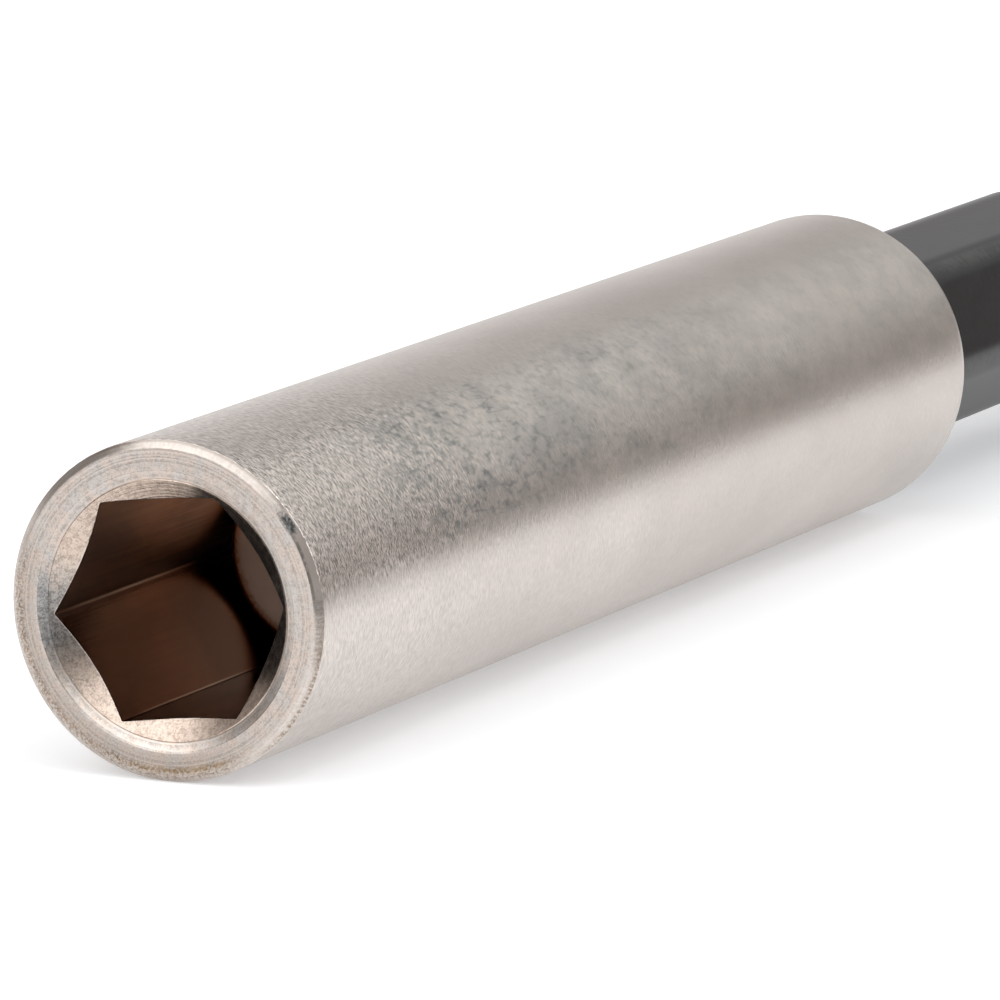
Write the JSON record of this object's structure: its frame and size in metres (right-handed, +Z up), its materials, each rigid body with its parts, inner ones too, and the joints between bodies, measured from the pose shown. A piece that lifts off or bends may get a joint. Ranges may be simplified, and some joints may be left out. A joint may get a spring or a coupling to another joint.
{
  "type": "magnetic bit holder",
  "caption": "Magnetic bit holder: a round stainless sleeve with a hexagonal socket and a magnet at its front, on a black hexagonal drive shank with a ball groove.",
  "frame": {"origin": "on the table under the middle of the holder's length, with the holder lying on its side", "axes": "+X along the holder's axis, from the mouth of the socket to the end of the shank; +Z up from the table"},
  "size_m": [0.079, 0.01, 0.01],
  "materials": {
    "brushed_stainless": "stainless, brushed round the axis, scuffed",
    "dull_nickel": "dull nickel plate",
    "black_oxide": "satin black oxide on steel"
  },
  "bodies": {
    "root": {"sleeve": "brushed_stainless", "magnet": "dull_nickel", "hex_shank": "black_oxide"}
  },
  "joints": []
}
